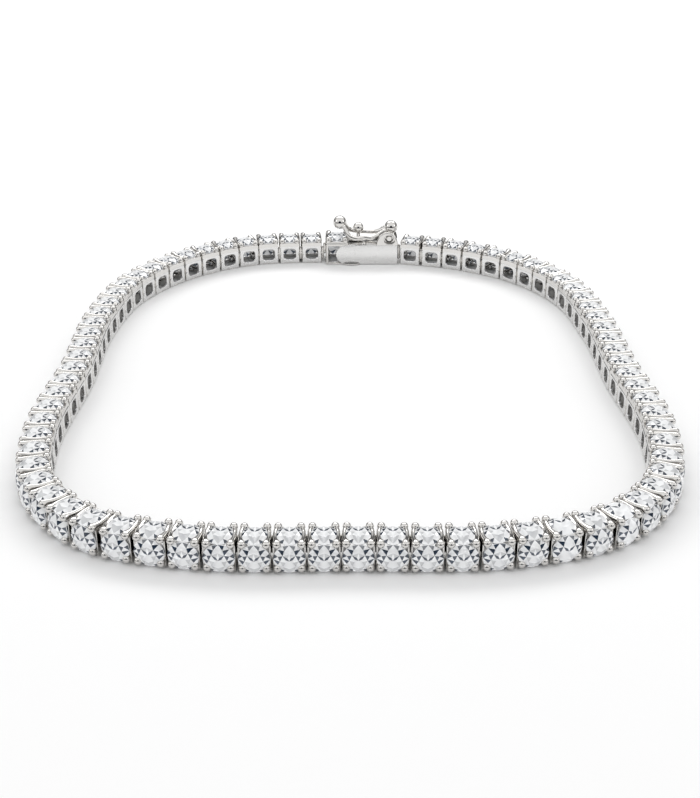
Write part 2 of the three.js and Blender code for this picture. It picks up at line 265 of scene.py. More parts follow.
# The dark opening in front, in degrees
OPENING_ELEVATION = 16.0
OPENING_RADIUS = 22.0
OPENING_SOFTNESS = 2.0
OPENING_COLOUR = (0.008, 0.012, 0.02)

# Soft lights: where they stand, and how wide and high they are
KEY_PLACE = (0, 0.26, 0.30)
KEY_SIZE = (0.5, 0.14)
SIDE_PLACE = (0.26, -0.04, 0.13)
SIDE_SIZE = (0.06, 0.16)

# Camera
SENSOR_WIDTH = 36
NEAREST_SEEN = 0.002
FARTHEST_SEEN = 20

# Bodies of the frame
FIXED_BODY = "bracelet"
CATCH_BODY = "catch"

# Places that follow from the sizes above and from the frame
_, box_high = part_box("clasp_box")
CLASP_PLACE = Vector((box_high.x - CLASP_RIGHT_END, box_high.y - BOX_DEPTH / 2, 0))
CLASP_ROUTE_Y = 0.0276
ROUTE_SHIFT = CLASP_PLACE - Vector((0, CLASP_ROUTE_Y, 0))
BOX_LEFT_END = CLASP_RIGHT_END - BOX_LENGTH
BOX_TOP = BOX_LIFT + BOX_HEIGHT
BOX_MIDDLE_Z = BOX_LIFT + BOX_HEIGHT / 2
TONGUE_SETTING_HALF = SETTING_HALF_WIDTH * CLASP_SETTING_SCALE
TONGUE_SETTING_X = BOX_LEFT_END - SETTING_CLEARANCE - TONGUE_SETTING_HALF
CLASP_LEFT_END = TONGUE_SETTING_X - TONGUE_SETTING_HALF
HINGE = Vector((CLASP_RIGHT_END - HINGE_TO_END, 0, BOX_TOP + HINGE_RISE))
STUD_X = CLASP_RIGHT_END - STUD_TO_END
EAR_INNER_Y = BOX_DEPTH / 2 - EAR_THICKNESS
BORE_RADIUS = PIN_DIAMETER / 2 + PIN_CLEARANCE


def share_property(name, description, default, low=0, high=1):
    return FloatProperty(
        name=name, description=description, default=default, min=low, max=high, subtype="FACTOR")


def colour_property(name, description, default):
    return FloatVectorProperty(
        name=name, description=description, default=default, min=0, max=1, subtype="COLOR")


class StoneSizes(PropertyGroup):
    diameter: FloatProperty(
        name="Diameter", description="Girdle diameter of each brilliant",
        default=0.0022, min=0.001, precision=5, unit="LENGTH")
    table_share: share_property("Table", "Table width as a share of the diameter", 0.56, 0.4, 0.7)
    crown_share: share_property(
        "Crown", "Crown height as a share of the diameter", 0.15, 0.05, 0.25)
    pavilion_share: share_property(
        "Pavilion", "Pavilion depth as a share of the diameter", 0.43, 0.3, 0.5)
    girdle: FloatProperty(
        name="Girdle", description="Thickness of the girdle",
        default=0.00006, min=0.00001, precision=5, unit="LENGTH")
    star_share: share_property(
        "Star length", "Length of the star facets across the crown", 0.5, 0.2, 0.8)
    lower_share: share_property(
        "Lower half length", "Length of the lower girdle facets", 0.77, 0.5, 0.9)


class Finishes(PropertyGroup):
    metal_colour: colour_property(
        "White metal", "Colour of the rhodium-white metal", (0.70, 0.686, 0.666))
    satin_colour: colour_property(
        "Satin metal", "Colour of the satin inner plates", (0.78, 0.776, 0.77))
    polish_roughness: share_property(
        "Polish roughness", "Roughness of the polished claws, rails and wires", 0.07)
    satin_roughness: share_property("Satin roughness", "Roughness of the inner plates", 0.24)
    # The stones' body colour, also the colour of their painted white reflections and painted glow
    stone_and_painted_light_colour: colour_property("Stone", "Body colour of the stones", (0.985, 0.992, 1.0))
    # The colour of the painted dark reflections on the stones' facets
    painted_dark_reflection: colour_property(
        "Dark facets", "Shade of the stones' darkest facets", (0.01, 0.02, 0.04))
    stone_clearness: share_property("Clearness", "How far light goes through the stones", 0.4)
    # Strength of a painted glow that the stones give off
    painted_stone_glow: FloatProperty(
        name="Brilliance", description="Light that the stones' bright facets give back",
        default=0.15, min=0, max=1)
    stone_index: FloatProperty(
        name="Refraction", description="Refractive index of the stones",
        default=1.85, min=1.3, max=3)


class StageSizes(PropertyGroup):
    camera_place: FloatVectorProperty(
        name="Camera", description="Where the camera stands",
        default=(-0.0001, -0.10166, 0.05099), precision=5, subtype="TRANSLATION", unit="LENGTH")
    camera_elevation: FloatProperty(
        name="Camera elevation", description="How far down the camera looks",
        default=math.radians(27.6), unit="ROTATION")
    camera_turn: FloatProperty(
        name="Camera turn", description="How far the camera turns to the right",
        default=math.radians(0.04), unit="ROTATION")
    lens: FloatProperty(
        name="Lens", description="Focal length on a 36 mm long side, in millimetres",
        default=58.35, min=10, unit="CAMERA")
    floor_width: FloatProperty(
        name="Floor", description="Width of the pale floor",
        default=6.0, min=0.5, unit="LENGTH")
    floor_colour: FloatVectorProperty(
        name="Floor colour", description="Colour of the pale floor",
        default=(0.93, 0.93, 0.93), min=0, max=1, subtype="COLOR")
    sky_strength: FloatProperty(
        name="Sky", description="Strength of the pale studio surroundings",
        default=1.0, min=0)
    key_power: FloatProperty(
        name="Key light", description="Power of the large overhead light, in watts",
        default=0.72, min=0, unit="POWER")
    side_power: FloatProperty(
        name="Side lights", description="Power of each side light, in watts",
        default=0.04, min=0, unit="POWER")


# Lines and shapes
def spline_span(before, start, end, after, steps):
    """One span of a centripetal Catmull-Rom line, without its last point."""
    gap_before = (start - before).length ** 0.5
    gap = (end - start).length ** 0.5
    gap_after = (after - end).length ** 0.5
    chord = (end - start) / gap
    leave = ((start - before) / gap_before - (end - before) / (gap_before + gap) + chord) * gap
    arrive = (chord - (after - start) / (gap + gap_after) + (after - end) / gap_after) * gap
    square = 3 * (end - start) - 2 * leave - arrive
    cube = 2 * (start - end) + leave + arrive
    shares = [step / steps for step in range(steps)]
    return [start + leave * t + square * t * t + cube * t ** 3 for t in shares]


def spline(points, steps):
    """A smooth line through the points."""
    padded = [2 * points[0] - points[1], *points, 2 * points[-1] - points[-2]]
    line = []
    for before, start, end, after in zip(padded, padded[1:], padded[2:], padded[3:]):
        line += spline_span(before, start, end, after, steps)
    return line + [points[-1]]


def route_line():
    """The chain's middle line on the table, from the clasp's right end to its left end."""
    start = (CLASP_RIGHT_END + CLASP_GAP, CLASP_ROUTE_Y)
    end = (CLASP_LEFT_END - CLASP_GAP, CLASP_ROUTE_Y + LEFT_END_SHIFT)
    points = [Vector((x, y, 0)) + ROUTE_SHIFT for x, y in [start, *ROUTE, end]]
    return spline(points, SPAN_STEPS)


def line_length(line):
    return sum((b - a).length for a, b in zip(line, line[1:]))


def ring_of_points(centre, across, up, radius, sides):
    turns = [2 * math.pi * k / sides for k in range(sides)]
    return [centre + (across * math.cos(turn) + up * math.sin(turn)) * radius for turn in turns]


def add_tube(bm, path, radii, sides, dome_steps=3):
    """A round wire along a path, with its own radius at each point and domed ends."""
    first = (path[1] - path[0]).normalized()
    last = (path[-1] - path[-2]).normalized()
    leans = [step / (dome_steps + 0.5) * math.pi / 2 for step in range(1, dome_steps + 1)]
    stations = list(zip(path, radii))
    for lean in leans:
        low = (path[0] - first * radii[0] * math.sin(lean), radii[0] * math.cos(lean))
        high = (path[-1] + last * radii[-1] * math.sin(lean), radii[-1] * math.cos(lean))
        stations = [low, *stations, high]
    across = first.orthogonal().normalized()
    rings = []
    for index, (centre, radius) in enumerate(stations):
        ahead = stations[min(index + 1, len(stations) - 1)][0] - stations[max(index - 1, 0)][0]
        ahead.normalize()
        across = (across - ahead * across.dot(ahead)).normalized()
        points = ring_of_points(centre, across, ahead.cross(across), radius, sides)
        rings.append([bm.verts.new(point) for point in points])
    skin_rings(bm, rings)
    bm.faces.new(reversed(rings[0]))
    bm.faces.new(rings[-1])


def skin_rings(bm, rings, closed=False):
    """Faces between neighbouring rings of points."""
    pairs = list(zip(rings, rings[1:]))
    if closed:
        pairs.append((rings[-1], rings[0]))
    for low, high in pairs:
        for k in range(len(low)):
            after = (k + 1) % len(low)
            bm.faces.new((low[k], low[after], high[after], high[k]))


def add_turned(bm, profile, place, steps):
    """A solid turned about its own Z from (radius, height) points, its ends on the axis."""
    across = Vector((1, 0, 0))
    ahead = Vector((0, 1, 0))
    rings = []
    for radius, height in profile[1:-1]:
        points = ring_of_points(Vector((0, 0, height)), across, ahead, radius, steps)
        rings.append([bm.verts.new(place @ point) for point in points])
    skin_rings(bm, rings)
    for ring, height in ((rings[0], profile[0][1]), (rings[-1], profile[-1][1])):
        tip = bm.verts.new(place @ Vector((0, 0, height)))
        for k in range(steps):
            bm.faces.new((tip, ring[k], ring[(k + 1) % steps]))


def add_ball(bm, centre, diameter, detail):
    segments, rings = detail
    bmesh.ops.create_uvsphere(
        bm, u_segments=segments, v_segments=rings, radius=diameter / 2,
        matrix=Matrix.Translation(centre))


def add_sharp_block(bm, low, high):
    """A block between two corners."""
    low = Vector(low)
    high = Vector(high)
    size = Matrix.Diagonal((*(high - low), 1))
    made = bmesh.ops.create_cube(bm, size=1, matrix=Matrix.Translation((low + high) / 2) @ size)
    return made["verts"]


def round_edges(bm, corners, edge):
    """Rounds over every edge that meets the corners."""
    edges = {e for v in corners for e in v.link_edges}
    bmesh.ops.bevel(bm, geom=list(edges), offset=edge, segments=1, affect="EDGES")


def add_block(bm, low, high, edge):
    """A block between two corners, with its edges rounded over."""
    round_edges(bm, add_sharp_block(bm, low, high), edge)


def add_upright_bar(bm, x, y, heights, radius):
    low, high = heights
    ends = [Vector((x, y, low + radius)), Vector((x, y, high - radius))]
    add_tube(bm, ends, [radius, radius], WIRE_SIDES, 2)


def add_prism(bm, plan, low_z, high_z, edge):
    """An upright solid on a plan of (x, y) points, with its edges rounded over."""
    bottom = [bm.verts.new((x, y, low_z)) for x, y in plan]
    top = [bm.verts.new((x, y, high_z)) for x, y in plan]
    skin_rings(bm, [bottom, top])
    bm.faces.new(reversed(bottom))
    bm.faces.new(top)
    round_edges(bm, bottom + top, edge)


def rounded_rectangle(low_x, high_x, low_z, high_z, radius, steps=4):
    """The outline of a rectangle with round corners, as (x, z) points."""
    corners = [
        (high_x - radius, low_z + radius, -90), (high_x - radius, high_z - radius, 0),
        (low_x + radius, high_z - radius, 90), (low_x + radius, low_z + radius, 180),
    ]
    points = []
    for x, z, start in corners:
        for step in range(steps + 1):
            turn = math.radians(start + 90 * step / steps)
            points.append((x + radius * math.cos(turn), z + radius * math.sin(turn)))
    return points


def arc(x, z, radius_x, radius_z, start, end, steps):
    """Points of an elliptical arc, in degrees."""
    turns = [math.radians(start + (end - start) * k / steps) for k in range(steps + 1)]
    return [(x + radius_x * math.cos(turn), z + radius_z * math.sin(turn)) for turn in turns]


# Meshes and objects
def add_sheet(bm, outlines, front_y, thickness, edge, edge_steps=1):
    """A plate that stands in the X-Z plane, cut to its outlines, with its edges rounded over."""
    curve = bpy.data.curves.new("sheet outline", "CURVE")
    curve.dimensions = "2D"
    curve.fill_mode = "BOTH"
    curve.extrude = thickness / 2 - edge
    curve.bevel_depth = edge
    curve.bevel_resolution = edge_steps - 1
    curve.offset = -edge
    for outline in outlines:
        line = curve.splines.new("POLY")
        line.points.add(len(outline) - 1)
        for point, (x, z) in zip(line.points, outline):
            point.co = (x, z, 0, 1)
        line.use_cyclic_u = True
    holder = bpy.data.objects.new("sheet outline", curve)
    mesh = bpy.data.meshes.new_from_object(holder)
    upright = Matrix.Rotation(math.pi / 2, 4, "X")
    mesh.transform(Matrix.Translation((0, front_y + thickness / 2, 0)) @ upright)
    bm.from_mesh(mesh)
    bpy.data.meshes.remove(mesh)
    bpy.data.objects.remove(holder)
    bpy.data.curves.remove(curve)


def mesh_from(bm, name):
    mesh = bpy.data.meshes.new(name)
    bm.to_mesh(mesh)
    bm.free()
    return mesh


def finish_mesh(bm, name):
    """Closes seams, turns faces outward and keeps only the real corners sharp."""
    bmesh.ops.remove_doubles(bm, verts=bm.verts, dist=WELD_DISTANCE)
    bmesh.ops.recalc_face_normals(bm, faces=bm.faces)
    for face in bm.faces:
        face.smooth = True
    for edge in bm.edges:
        if len(edge.link_faces) == 2:
            edge.smooth = edge.calc_face_angle() < SMOOTH_ANGLE
    return mesh_from(bm, name)


def new_object(name, data):
    thing = bpy.data.objects.new(name, data)
    bpy.context.scene.collection.objects.link(thing)
    return thing


def new_piece(name, mesh, material, body=FIXED_BODY, replaces=()):
    """Puts a finished mesh into the scene as a piece that rides on a body."""
    mesh.materials.clear()
    mesh.materials.append(material)
    piece = new_object(name, mesh)
    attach(piece, body)
    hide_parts(*replaces)
    return piece


# Stones
def add_brilliant(bm, place):
    """A round brilliant with its girdle plane at its own z = 0, each facet with its tone of painted
    reflection.
    """
    sizes = bpy.context.scene.bracelet_stones
    radius = sizes.diameter / 2
    table_z = sizes.diameter * sizes.crown_share
    culet_z = -sizes.diameter * sizes.pavilion_share
    half_step = math.cos(math.pi / 8)
    table_edge = sizes.table_share * half_step
    star = table_edge + sizes.star_share * (1 - table_edge)
    star_z = table_z * (1 - star * half_step) / (1 - sizes.table_share)
    lower = 1 - sizes.lower_share
    lower_z = culet_z * (1 - lower * half_step)
    tones = bm.faces.layers.float.get(FACET_REFLECTION) or bm.faces.layers.float.new(FACET_REFLECTION)

    def points(share, z, count, start):
        made = []
        for k in range(count):
            turn = math.radians(start + 360 * k / count)
            corner = Vector((share * radius * math.cos(turn), share * radius * math.sin(turn), z))
            made.append(bm.verts.new(place @ corner))
        return made

    def facet(ring, turn, *corners):
        # A facet's painted light or dark reflection follows which way it faces in the stone
        levels = RING_TONES[ring]
        from_own_y = abs((turn + 90) % 360 - 180)
        share = min(int(from_own_y * len(levels) / 180), len(levels) - 1)
        bm.faces.new(corners)[tones] = levels[share]

    table = points(sizes.table_share, table_z, 8, 0)
    inner = points(sizes.table_share * INNER_STAR, table_z, 8, 22.5)
    centre = bm.verts.new(place @ Vector((0, 0, table_z)))
    stars = points(star, star_z, 8, 22.5)
    upper = points(1, sizes.girdle / 2, 16, 0)
    under = points(1, -sizes.girdle / 2, 16, 0)
    lowers = points(lower, lower_z, 8, 22.5)
    culet = bm.verts.new(place @ Vector((0, 0, culet_z)))
    for k in range(8):
        main = 2 * k
        between = main + 1
        after = (main + 2) % 16
        turn = 45 * k
        half = turn + 22.5
        facet("table flashes", turn, centre, inner[k - 1], table[k], inner[k])
        facet("table edge", half, inner[k], table[k], table[(k + 1) % 8])
        facet("stars", half, table[k], stars[k], table[(k + 1) % 8])
        facet("kites", turn - KITE_HALF_TURN, table[k], stars[k - 1], upper[main])
        facet("kites", turn + KITE_HALF_TURN, table[k], upper[main], stars[k])
        facet("upper halves", half - GIRDLE_HALF_TURN, stars[k], upper[main], upper[between])
        facet("upper halves", half + GIRDLE_HALF_TURN, stars[k], upper[between], upper[after])
        bm.faces.new((upper[main], under[main], under[between], upper[between]))[tones] = WHITE
        bm.faces.new((upper[between], under[between], under[after], upper[after]))[tones] = WHITE
        facet("lower halves", half - GIRDLE_HALF_TURN, lowers[k], under[between], under[main])
        facet("lower halves", half + GIRDLE_HALF_TURN, lowers[k], under[after], under[between])
        facet("pavilion", turn, culet, lowers[k], under[main], lowers[k - 1])


def outer_girdle():
    """How far out of the link's middle the outer stone's girdle is."""
    return (bpy.context.scene.bracelet_stones.diameter + INNER_LEDGE) / 2


def top_girdle():
    """How high the top stone's girdle is."""
    return FLOOR_UNDER_STONE + bpy.context.scene.bracelet_stones.diameter + CORNER_CLEARANCE


def facing_up():
    radius = bpy.context.scene.bracelet_stones.diameter / 2
    return Matrix.Translation((0, outer_girdle() - radius, top_girdle()))


def facing_out():
    radius = bpy.context.scene.bracelet_stones.diameter / 2
    turn = Matrix.Rotation(-math.pi / 2, 4, "X")
    return Matrix.Translation((0, outer_girdle(), FLOOR_UNDER_STONE + radius)) @ turn


def stones_mesh(name, places):
    bm = bmesh.new()
    for place in places:
        add_brilliant(bm, place)
    bmesh.ops.recalc_face_normals(bm, faces=bm.faces)
    return mesh_from(bm, name)


# Settings
def add_rail(bm, side):
    points = [Vector((side * x, y, z)) for x, y, z, radius in RAIL]
    path = spline(points, 2)
    radii = []
    for (*_, here), (*_, following) in zip(RAIL, RAIL[1:]):
        radii += [here, (here + following) / 2]
    radii.append(RAIL[-1][-1])
    add_tube(bm, path, radii, RAIL_SIDES)


def add_claws(bm, side):
    """The ball claws at the inner top and the outer bottom corners, and the lower one's arm."""
    inner_y = -outer_girdle() + CLAW_TO_EDGE
    outer_y = outer_girdle() + OUTER_CLAW_REACH
    low_z = CLAW_BALL / 2 + LOW_CLAW_LIFT
    top_z = top_girdle() + FLOOR_UNDER_STONE
    add_ball(bm, Vector((side * INNER_CLAW_X, inner_y, top_z)), CLAW_BALL, CLAW_BALL_DETAIL)
    low_claw = Vector((side * CLAW_X, outer_y, low_z))
    add_ball(bm, low_claw, CLAW_BALL, CLAW_BALL_DETAIL)
    arm_start = Vector((side * CLAW_X, outer_y - 2 * CLAW_BALL, low_z))
    add_tube(bm, [arm_start, low_claw], [WALL, WALL], ARM_SIDES, 0)


def add_walls(bm, inner_y):
    """The box round the stones' lower halves: side walls, floor, and bars under each stone."""
    outer_y = outer_girdle() - WALL
    wall_top = top_girdle() - WALL
    outside = SETTING_HALF_WIDTH - WALL_INSET
    edge = WALL / 4
    for side in (-1, 1):
        inner_x = side * outside
        outer_x = side * (outside + WALL_SPREAD)
        inward = -side * WALL
        plan = [
            (inner_x, inner_y), (outer_x, 0), (outer_x, outer_y),
            (outer_x + inward, outer_y), (outer_x + inward, 0), (inner_x + inward, inner_y),
        ]
        add_prism(bm, plan, WALL_INSET, wall_top, edge)
    inside = outside - WALL / 2
    add_block(bm, (-inside, inner_y, 0), (inside, FLOOR_REACH, WALL), edge)
    add_block(bm, (-inside, OUTER_BAR_Y, 0), (inside, OUTER_BAR_Y + WALL, OUTER_BAR_HEIGHT), edge)
    top_bar = (inside, inner_y + 1.5 * WALL, wall_top + WALL / 2)
    add_block(bm, (-inside, inner_y, PLATE_TOP - WALL / 2), top_bar, edge)


def setting_mesh():
    bm = bmesh.new()
    add_walls(bm, -outer_girdle() + WALL_INSET * 2)
    for side in (-1, 1):
        add_rail(bm, side)
        add_claws(bm, side)
    return bm


def link_mesh():
    """One link's metal: its setting, and the knuckle and bar between it and the next link."""
    bm = setting_mesh()
    line = route_line()
    pitch = line_length(line) / links_in_chain(line)
    centre = Vector((pitch / 2, -outer_girdle() + CONNECTOR_INSET, CONNECTOR_HEIGHT))
    shape = Matrix.Diagonal((KNUCKLE_HALF_LENGTH, KNUCKLE_HALF_DEPTH, KNUCKLE_HALF_HEIGHT, 1))
    segments, rings = KNUCKLE_DETAIL
    bmesh.ops.create_uvsphere(
        bm, u_segments=segments, v_segments=rings, radius=1,
        matrix=Matrix.Translation(centre) @ shape)
    add_upright_bar(bm, centre.x, centre.y, LINK_HINGE_HEIGHTS, LINK_HINGE_RADIUS)
    return finish_mesh(bm, "link")


def plate_outline():
    """Half of the plate's edge from its foot up, then the same mirrored."""
    half = PLATE_HALF_WIDTH
    corner = PLATE_CORNER
    notch_low = CONNECTOR_HEIGHT - NOTCH_HALF_HEIGHT
    notch_high = CONNECTOR_HEIGHT + NOTCH_HALF_HEIGHT
    right = [(half - FOOT_WIDTH - FOOT_RISE, PLATE_BOTTOM + FOOT_RISE), (half - FOOT_WIDTH, PLATE_BOTTOM)]
    right += arc(half - corner, PLATE_BOTTOM + corner, corner, corner, -90, 0, 4)
    right += [(half, notch_low), (half - NOTCH_DEPTH, notch_low + NOTCH_DEPTH)]
    right += [(half - NOTCH_DEPTH, notch_high - NOTCH_DEPTH), (half, notch_high)]
    right += arc(half - corner, PLATE_TOP - corner, corner, corner, 0, 90, 4)
    return right + [(-x, z) for x, z in reversed(right)]


def plate_mesh():
    """The plain inner plate of one link, with its rounded window."""
    outline = plate_outline()
    window = rounded_rectangle(
        -WINDOW_HALF_WIDTH, WINDOW_HALF_WIDTH, WINDOW_BOTTOM, WINDOW_TOP, WINDOW_CORNER)
    bm = bmesh.new()
    add_sheet(bm, [outline, window], -outer_girdle(), PLATE_THICKNESS, WALL / 3)
    return finish_mesh(bm, "link plate")


# Laying the links along the route
def links_in_chain(line):
    return round(line_length(line) / (bpy.context.scene.bracelet_stones.diameter + STONE_GAP))


def connect(tree, wires):
    """Wires the tree from rows of a node, its output, the next node and its input."""
    for source, output, target, entry in wires:
        tree.links.new(source.outputs[output], target.inputs[entry])


def set_inputs(node, values):
    for name, value in values.items():
        node.inputs[name].default_value = value


def laying_tree():
    """The node tree that puts a link at each even step along the route."""
    tree = bpy.data.node_groups.new("Links along the route", "GeometryNodeTree")
    for name, kind in (
            ("Route", "Geometry"), ("Link", "Object"), ("Links in the chain", "Int"),
            ("First link", "Int"), ("Links laid", "Int"), ("Finish", "Material")):
        tree.interface.new_socket(name, in_out="INPUT", socket_type=f"NodeSocket{kind}")
    tree.interface.new_socket("Chain", in_out="OUTPUT", socket_type="NodeSocketGeometry")
    nodes = tree.nodes
    given = nodes.new("NodeGroupInput")
    curve = nodes.new("GeometryNodeMeshToCurve")
    points = nodes.new("GeometryNodePoints")
    index = nodes.new("GeometryNodeInputIndex")
    number = math_node(nodes, "ADD")
    middle = math_node(nodes, "ADD", 0.5)
    share = math_node(nodes, "DIVIDE")
    sample = nodes.new("GeometryNodeSampleCurve")
    sample.mode = "FACTOR"
    sample.use_all_curves = True
    place = nodes.new("GeometryNodeSetPosition")
    align = nodes.new("FunctionNodeAlignRotationToVector")
    align.axis = "X"
    align.pivot_axis = "Z"
    link = nodes.new("GeometryNodeObjectInfo")
    instances = nodes.new("GeometryNodeInstanceOnPoints")
    # A random shift of each link's painted facet reflections
    chance = nodes.new("FunctionNodeRandomValue")
    set_inputs(chance, {"Min": -TONE_SHIFT, "Max": TONE_SHIFT, "Seed": TONE_SEED})
    store = nodes.new("GeometryNodeStoreNamedAttribute")
    store.domain = "INSTANCE"
    store.inputs["Name"].default_value = LINK_TONE
    realize = nodes.new("GeometryNodeRealizeInstances")
    paint = nodes.new("GeometryNodeSetMaterial")
    result = nodes.new("NodeGroupOutput")
    connect(tree, (
        (given, "Route", curve, "Mesh"),
        (given, "Links laid", points, "Count"),
        (index, "Index", number, 0),
        (given, "First link", number, 1),
        (number, 0, middle, 0),
        (middle, 0, share, 0),
        (given, "Links in the chain", share, 1),
        (curve, "Curve", sample, "Curves"),
        (share, 0, sample, "Factor"),
        (points, 0, place, "Geometry"),
        (sample, "Position", place, "Position"),
        (sample, "Tangent", align, "Vector"),
        (given, "Link", link, "Object"),
        (place, "Geometry", instances, "Points"),
        (link, "Geometry", instances, "Instance"),
        (align, "Rotation", instances, "Rotation"),
        (instances, "Instances", store, "Geometry"),
        (number, 0, chance, "ID"),
        (chance, "Value", store, "Value"),
        (store, "Geometry", realize, "Geometry"),
        (realize, "Geometry", paint, "Geometry"),
        (given, "Finish", paint, "Material"),
        (paint, "Geometry", result, "Chain"),
    ))
    return tree


def math_node(nodes, operation, second=None):
    node = nodes.new("ShaderNodeMath")
    node.operation = operation
    if second is not None:
        node.inputs[1].default_value = second
    return node


def socket_id(tree, name):
    return next(item.identifier for item in tree.interface.items_tree if item.name == name)


def route_object(line):
    mesh = bpy.data.meshes.new("chain route")
    mesh.from_pydata(line, [(k, k + 1) for k in range(len(line) - 1)], [])
    return new_object("chain route", mesh)


def laid_links(link_shape, first, count, material):
    """A plain mesh of links laid along the route, from the first one on."""
    line = route_line()
    template = new_object("one link", link_shape)
    holder = route_object(line)
    tree = bpy.data.node_groups.get("Links along the route") or laying_tree()
    modifier = holder.modifiers.new("Links", "NODES")
    modifier.node_group = tree
    given = {
        "Link": template, "Links in the chain": links_in_chain(line), "First link": first,
        "Links laid": count, "Finish": material,
    }
    for name, value in given.items():
        modifier[socket_id(tree, name)] = value
    ready = holder.evaluated_get(bpy.context.evaluated_depsgraph_get())
    mesh = bpy.data.meshes.new_from_object(ready)
    holder.modifiers.remove(modifier)
    bpy.data.objects.remove(holder)
    bpy.data.objects.remove(template)
    return mesh


def chain_halves():
    """Name, first link and number of links of each half of the chain."""
    in_all = links_in_chain(route_line())
    right = in_all // 2 + 1
    return (("right", 0, right), ("left", right, in_all - right))


def lay_both_halves(kind, link_shape, material):
    for half, first, count in chain_halves():
        mesh = laid_links(link_shape, first, count, material)
        new_piece(f"chain_{kind}_{half}", mesh, material, replaces=[f"links_{half}"])


# Finishes
def new_material(name):
    material = bpy.data.materials.new(name)
    material.use_nodes = True
    return material, material.node_tree.nodes, material.node_tree.nodes["Principled BSDF"]


def mix_node(nodes, low=None, high=None):
    """A mix of two shades, each set here or wired in."""
    node = nodes.new("ShaderNodeMix")
    node.data_type = "RGBA"
    for entry, colour in (("A", low), ("B", high)):
        if colour is not None:
            node.inputs[entry].default_value = (*colour, 1)
    return node


def range_node(nodes, low, high, new_low=0, new_high=1):
    node = nodes.new("ShaderNodeMapRange")
    set_inputs(node, {"From Min": low, "From Max": high, "To Min": new_low, "To Max": new_high})
    return node


def noise_node(nodes, scale, detail):
    node = nodes.new("ShaderNodeTexNoise")
    set_inputs(node, {"Scale": scale, "Detail": detail})
    return node


def fine_marks_group():
    """Faint polishing marks and handling haze: a mask from 0 to 1 and a height."""
    name = "Fine marks"
    if name in bpy.data.node_groups:
        return bpy.data.node_groups[name]
    tree = bpy.data.node_groups.new(name, "ShaderNodeTree")
    for label, way in (
            ("Mark size", "INPUT"), ("Stretch", "INPUT"), ("Haze", "OUTPUT"), ("Height", "OUTPUT")):
        tree.interface.new_socket(label, in_out=way, socket_type="NodeSocketFloat")
    nodes = tree.nodes
    given = nodes.new("NodeGroupInput")
    coordinates = nodes.new("ShaderNodeTexCoord")
    density = math_node(nodes, "DIVIDE")
    density.inputs[0].default_value = 1.0
    along = math_node(nodes, "DIVIDE")
    scale = nodes.new("ShaderNodeCombineXYZ")
    spread = nodes.new("ShaderNodeVectorMath")
    spread.operation = "MULTIPLY"
    haze = noise_node(nodes, HAZE_SCALE, 3)
    lines = noise_node(nodes, 1.0, 4)
    result = nodes.new("NodeGroupOutput")
    connect(tree, (
        (given, "Mark size", density, 1),
        (density, 0, along, 0),
        (given, "Stretch", along, 1),
        (along, 0, scale, "X"),
        (density, 0, scale, "Y"),
        (density, 0, scale, "Z"),
        (coordinates, "Object", spread, 0),
        (scale, "Vector", spread, 1),
        (spread, "Vector", haze, "Vector"),
        (spread, "Vector", lines, "Vector"),
        (haze, "Fac", result, "Haze"),
        (lines, "Fac", result, "Height"),
    ))
    return tree


def metal_finish(name, colour, roughness, fine_marks):
    """White metal with fine marks that change its gloss and shade a little."""
    if name in bpy.data.materials:
        return bpy.data.materials[name]
    mark_size, stretch, mark_depth = fine_marks
    material, nodes, shader = new_material(name)
    shader.inputs["Metallic"].default_value = 1.0
    marks = nodes.new("ShaderNodeGroup")
    marks.node_tree = fine_marks_group()
    set_inputs(marks, {"Mark size": mark_size, "Stretch": stretch})
    gloss = range_node(nodes, 0, 1, roughness * LEAST_ROUGH, roughness * MOST_ROUGH)
    shade = mix_node(nodes, [c * DARKEST_METAL for c in colour], colour)
    bump = nodes.new("ShaderNodeBump")
    set_inputs(bump, {"Strength": MARK_STRENGTH, "Distance": mark_depth})
    connect(material.node_tree, (
        (marks, "Haze", gloss, "Value"),
        (gloss, "Result", shader, "Roughness"),
        (marks, "Haze", shade, "Factor"),
        (shade, "Result", shader, "Base Color"),
        (marks, "Height", bump, "Height"),
        (bump, "Normal", shader, "Normal"),
    ))
    return material


def polished_metal():
    looks = bpy.context.scene.bracelet_finishes
    return metal_finish(
        "Polished white metal", looks.metal_colour, looks.polish_roughness, POLISH_MARKS)


def satin_metal():
    looks = bpy.context.scene.bracelet_finishes
    return metal_finish("Satin white metal", looks.satin_colour, looks.satin_roughness, SATIN_MARKS)


def cut_stone():
    """Partly clear stone with light and dark reflections painted on its facets, which give off a little
    painted glow.
    """
    name = "Cut stone"
    if name in bpy.data.materials:
        return bpy.data.materials[name]
    looks = bpy.context.scene.bracelet_finishes
    material, nodes, shader = new_material(name)
    set_inputs(shader, {
        "Roughness": 0.0,
        "IOR": looks.stone_index,
        "Transmission Weight": looks.stone_clearness,
        # A painted glow, coloured by the painted facet reflections
        "Emission Strength": looks.painted_stone_glow,
    })
    facet = nodes.new("ShaderNodeAttribute")
    facet.attribute_name = FACET_REFLECTION
    link = nodes.new("ShaderNodeAttribute")
    link.attribute_name = LINK_TONE
    tone = math_node(nodes, "ADD")
    levels = level_ramp(nodes, TONE_LEVELS)
    levels.color_ramp.interpolation = "CONSTANT"
    # Painted dark and white reflections on the facets, also the colour of the painted glow
    shade = mix_node(nodes, looks.painted_dark_reflection, looks.stone_and_painted_light_colour)
    connect(material.node_tree, (
        (facet, "Fac", tone, 0),
        (link, "Fac", tone, 1),
        (tone, 0, levels, "Fac"),
        (levels, "Color", shade, "Factor"),
        (shade, "Result", shader, "Base Color"),
        (shade, "Result", shader, "Emission Color"),
    ))
    return material


